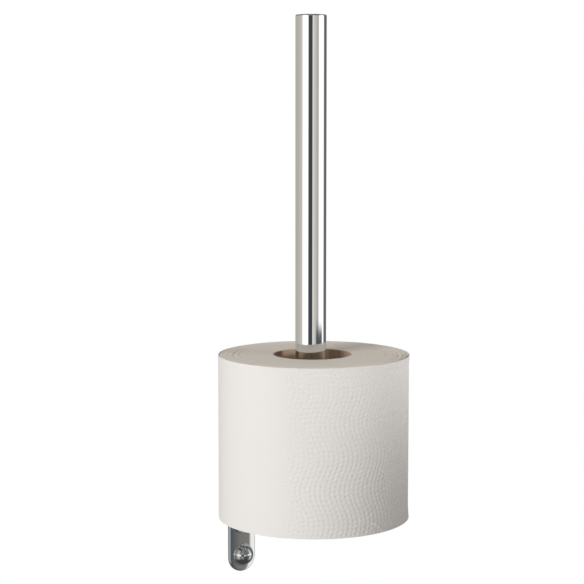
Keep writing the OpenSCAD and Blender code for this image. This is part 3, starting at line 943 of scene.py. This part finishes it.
def make_core():
    """The cardboard tube, wound from a strip whose seam runs up its inside in a helix."""
    steps, rows = CORE_STEPS, CORE_ROWS
    angle = np.linspace(0, FULL_TURN, steps, endpoint=False)[None, :]
    rise = np.linspace(0, 1, rows)[:, None]
    seam = apart(np.degrees(angle) - rise * SEAM_TURN, 0) / 360 * FULL_TURN * CORE_R
    inner = CORE_R + 0.03 + SEAM_HEIGHT * bell(seam, SEAM_WIDTH) + 0.05 * waver(angle, SEED + 60, 4)
    outer = CORE_R + CORE_WALL - 0.01
    ragged = 0.08 * waver(angle, SEED + 61, 24, 0.97, 8)
    z = REST_Z + 0.02 + (ROLL_H - 0.15) * rise + ragged * rise
    verts = np.concatenate([
        places(CORE_CENTRE, radius, angle, z).reshape(-1, 3) for radius in (inner, outer)
    ])
    wall = grid(rows, steps, closed=True)[:, [0, 3, 2, 1]]
    count = rows * steps
    k = np.arange(steps)
    k2 = (k + 1) % steps
    top = (rows - 1) * steps
    faces = np.concatenate([
        wall[:, ::-1], wall + count,
        np.stack([k, k + count, k2 + count, k2], -1),
        np.stack([top + k, top + k2, top + k2 + count, top + k + count], -1),
    ]).tolist()
    core = solid("cardboard_core", (verts, faces))
    dress(core, "roll", "core_board", CARDBOARD, "roll_core", sharp=CORE_SHARP)


# Studio
FLOOR_CENTRE = Vector((0, -0.07, -0.75))
FLOOR_HALF = 1.1
FADE_START, FADE_END = 0.45, 1.0
FLOOR_TONE = (0.86, 0.86, 0.855)


def make_floor():
    """The floor, far below the part, which turns into the white background towards its edge."""
    mesh = bpy.data.meshes.new("floor")
    corners = [FLOOR_CENTRE + FLOOR_HALF * Vector((x, y, 0)) for x, y in ((-1, -1), (1, -1), (1, 1), (-1, 1))]
    mesh.from_pydata(corners, [], [(0, 1, 2, 3)])
    floor = bpy.data.objects.new("floor", mesh)
    bpy.context.scene.collection.objects.link(floor)
    n = Nodes("floor")
    cloud = n.noise(6, 2)
    tone = n.mix(cloud, shade(FLOOR_TONE, 0.985), shade(FLOOR_TONE))
    n.set(Base_Color=tone, Roughness=0.9, Specular_IOR_Level=0.1)
    edge = add_step(n.tree, n.reach(FLOOR_CENTRE), FADE_START, FADE_END)
    path = n.add("ShaderNodeLightPath")
    fade = n.product(edge, path.outputs["Is Camera Ray"])
    light = n.add("ShaderNodeEmission", {"Color": WHITE, "Strength": 1.0}).outputs[0]
    mixed = n.add("ShaderNodeMixShader", {0: fade, 1: n.shader.outputs[0], 2: light}).outputs[0]
    n.tree.links.new(mixed, n.tree.nodes["Material Output"].inputs["Surface"])
    mesh.materials.append(n.material)
    floor.visible_glossy = False


# What the chrome mirrors, in linear light, by the direction round the pole in degrees: 0 is towards the
# camera and + to its right. The pole mirrors the bands near the horizon, and the wall strap and its caps
# mirror those above and below them.
MIDDLE_BANDS = (
    (-180, (0.60, 0.57, 0.52)), (-125, (0.52, 0.49, 0.44)), (-85, (0.62, 0.58, 0.53)),
    (-66, (0.72, 0.68, 0.62)), (-62, (1.45, 1.44, 1.42)), (-21, (1.45, 1.44, 1.42)),
    (-17, (0.07, 0.085, 0.095)), (10, (0.05, 0.06, 0.068)), (14, (0.97, 0.94, 0.90)),
    (22, (0.76, 0.72, 0.68)), (58, (0.47, 0.45, 0.41)), (62.5, (1.40, 1.40, 1.38)),
    (106, (1.40, 1.40, 1.38)), (112, (0.24, 0.24, 0.23)), (132, (0.13, 0.13, 0.13)),
    (180, (0.22, 0.22, 0.21)),
)
OUTER_BANDS = (
    (-180, (0.14, 0.14, 0.135)), (-140, (0.24, 0.24, 0.23)), (-112, (0.28, 0.275, 0.265)),
    (-95, (0.22, 0.215, 0.205)), (-70, (0.44, 0.43, 0.41)), (-57, (0.76, 0.75, 0.72)),
    (-31, (0.54, 0.53, 0.50)), (-27, (0.04, 0.045, 0.05)), (-19, (0.04, 0.045, 0.05)),
    (-15, (0.58, 0.58, 0.56)), (-5, (0.50, 0.50, 0.49)), (16, (0.14, 0.16, 0.17)),
    (36, (0.06, 0.075, 0.085)), (50, (0.10, 0.125, 0.14)), (64, (0.22, 0.205, 0.19)),
    (80, (0.24, 0.225, 0.21)), (84, (1.05, 1.05, 1.03)), (100, (0.95, 0.95, 0.93)),
    (107, (0.32, 0.32, 0.31)), (140, (0.18, 0.18, 0.17)),
)
CARD_BANDS = ((36, 0.0), (44, 1.0), (90, 1.0), (97, 0.0))
CARD_TONE = (0.09, 0.105, 0.115, 1)
FOOT_TONE = (0.075, 0.08, 0.08, 1)
HIGH_TONE = (0.10, 0.11, 0.12, 1)
TOP_TONE = (0.30, 0.30, 0.295, 1)
AMBIENT = (0.365, 0.359, 0.352, 1)
# How high above the horizon one passes into the next, in degrees
CARD_TO_MIDDLE, OUTER_TO_MIDDLE, MIDDLE_TO_OUTER = (-7.7, -7.2), (-13.5, -8.3), (4.5, 12)
FOOT_TO_OUTER, OUTER_TO_HIGH, HIGH_TO_TOP = (-56, -30), (40, 56), (68, 82)


def make_world():
    """A white background that lights the part evenly and is mirrored as the bands above."""
    world = bpy.data.worlds.new("studio")
    bpy.context.scene.world = world
    world.use_nodes = True
    tree = world.node_tree
    tree.nodes.clear()

    def add(kind, inputs=None, **settings):
        return add_node(tree, kind, inputs, **settings)

    direction = add("ShaderNodeTexCoord").outputs["Generated"]
    x, y = [
        add("ShaderNodeVectorMath", {0: direction, 1: axis}, operation="DOT_PRODUCT").outputs["Value"]
        for axis in (towards(EYE_AZIMUTH + 90), towards(EYE_AZIMUTH))
    ]
    z = add("ShaderNodeSeparateXYZ", {0: direction}).outputs["Z"]
    around = add("ShaderNodeMath", {0: x, 1: y}, operation="ARCTAN2").outputs[0]
    place = add("ShaderNodeMapRange", {"Value": around, "From Min": -math.pi, "From Max": math.pi}).outputs[0]

    def bands(stops):
        return add_ramp(tree, place, [((angle + 180) / 360, colour) for angle, colour in stops])

    def passed(heights, below, above):
        """What lies below two heights passes into what lies above them."""
        low, high = [math.sin(math.radians(height)) for height in heights]
        return add_mix(tree, add_step(tree, z, low, high), below, above)

    middle, outer = bands(MIDDLE_BANDS), bands(OUTER_BANDS)
    seen = passed(CARD_TO_MIDDLE, add_mix(tree, bands(CARD_BANDS), middle, CARD_TONE), middle)
    seen = passed(OUTER_TO_MIDDLE, outer, seen)
    seen = passed(MIDDLE_TO_OUTER, seen, outer)
    seen = passed(FOOT_TO_OUTER, FOOT_TONE, seen)
    seen = passed(OUTER_TO_HIGH, seen, HIGH_TONE)
    seen = passed(HIGH_TO_TOP, seen, TOP_TONE)
    path = add("ShaderNodeLightPath")
    colour = add_mix(tree, path.outputs["Is Glossy Ray"], AMBIENT, seen)
    colour = add_mix(tree, path.outputs["Is Camera Ray"], colour, WHITE)
    background = add("ShaderNodeBackground", {"Color": colour, "Strength": 1.0})
    add("ShaderNodeOutputWorld", {"Surface": background.outputs[0]})


def make_lamp(name, kind, azimuth, elevation, distance, power, target, tone=(1.0, 1.0, 1.0), **settings):
    """A soft lamp at a direction round the target, 0 towards the camera and + to its right."""
    back = towards(EYE_AZIMUTH + azimuth, elevation)
    data = bpy.data.lights.new(name, kind)
    data.energy = power
    data.color = tone
    for key, value in settings.items():
        setattr(data, key, value)
    lamp = bpy.data.objects.new(name, data)
    bpy.context.scene.collection.objects.link(lamp)
    lamp.location = Vector(target) + back * distance
    lamp.rotation_mode = "QUATERNION"
    lamp.rotation_quaternion = back.to_track_quat("Z", "Y")
    lamp.visible_glossy = False
    lamp.visible_camera = False


ROLL_MIDDLE = (0.0, -0.075, 0.07)
ROLL_TOP = (0.0, -0.075, 0.150)


def make_lamps():
    """The key light from the left, a weak one from behind and the spot."""
    make_lamp("key", "AREA", -40, 17, 1.5, 14.5, ROLL_MIDDLE, (1.0, 0.99, 0.98), size=0.75)
    make_lamp("back", "AREA", 180, 42, 1.6, 1.6, ROLL_MIDDLE, size=1.0)
    # the spot lights the upper right of the roll and fades out down its side
    make_lamp(
        "side", "SPOT", 76, 3, 1.0, 17.5, ROLL_TOP, (1.0, 0.98, 0.96),
        spot_size=math.radians(14.3), spot_blend=1.0, shadow_soft_size=0.05,
    )


# The whole model, then its surroundings
make_plate()
for side, name in ((1, "upper"), (-1, "lower")):
    make_wall_screw(side, name)
    make_seat(side, name)
    make_dome(side, name)
make_arm()
make_arm_screw()
make_socket_cover()
make_pole()
make_disc()
make_outer_sheet()
make_wound_paper()
make_core()
for node in ("pole_bolt", "pole_bolt_washer"):
    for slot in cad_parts[node].material_slots:
        slot.material = ZINC
make_floor()
make_world()
make_lamps()
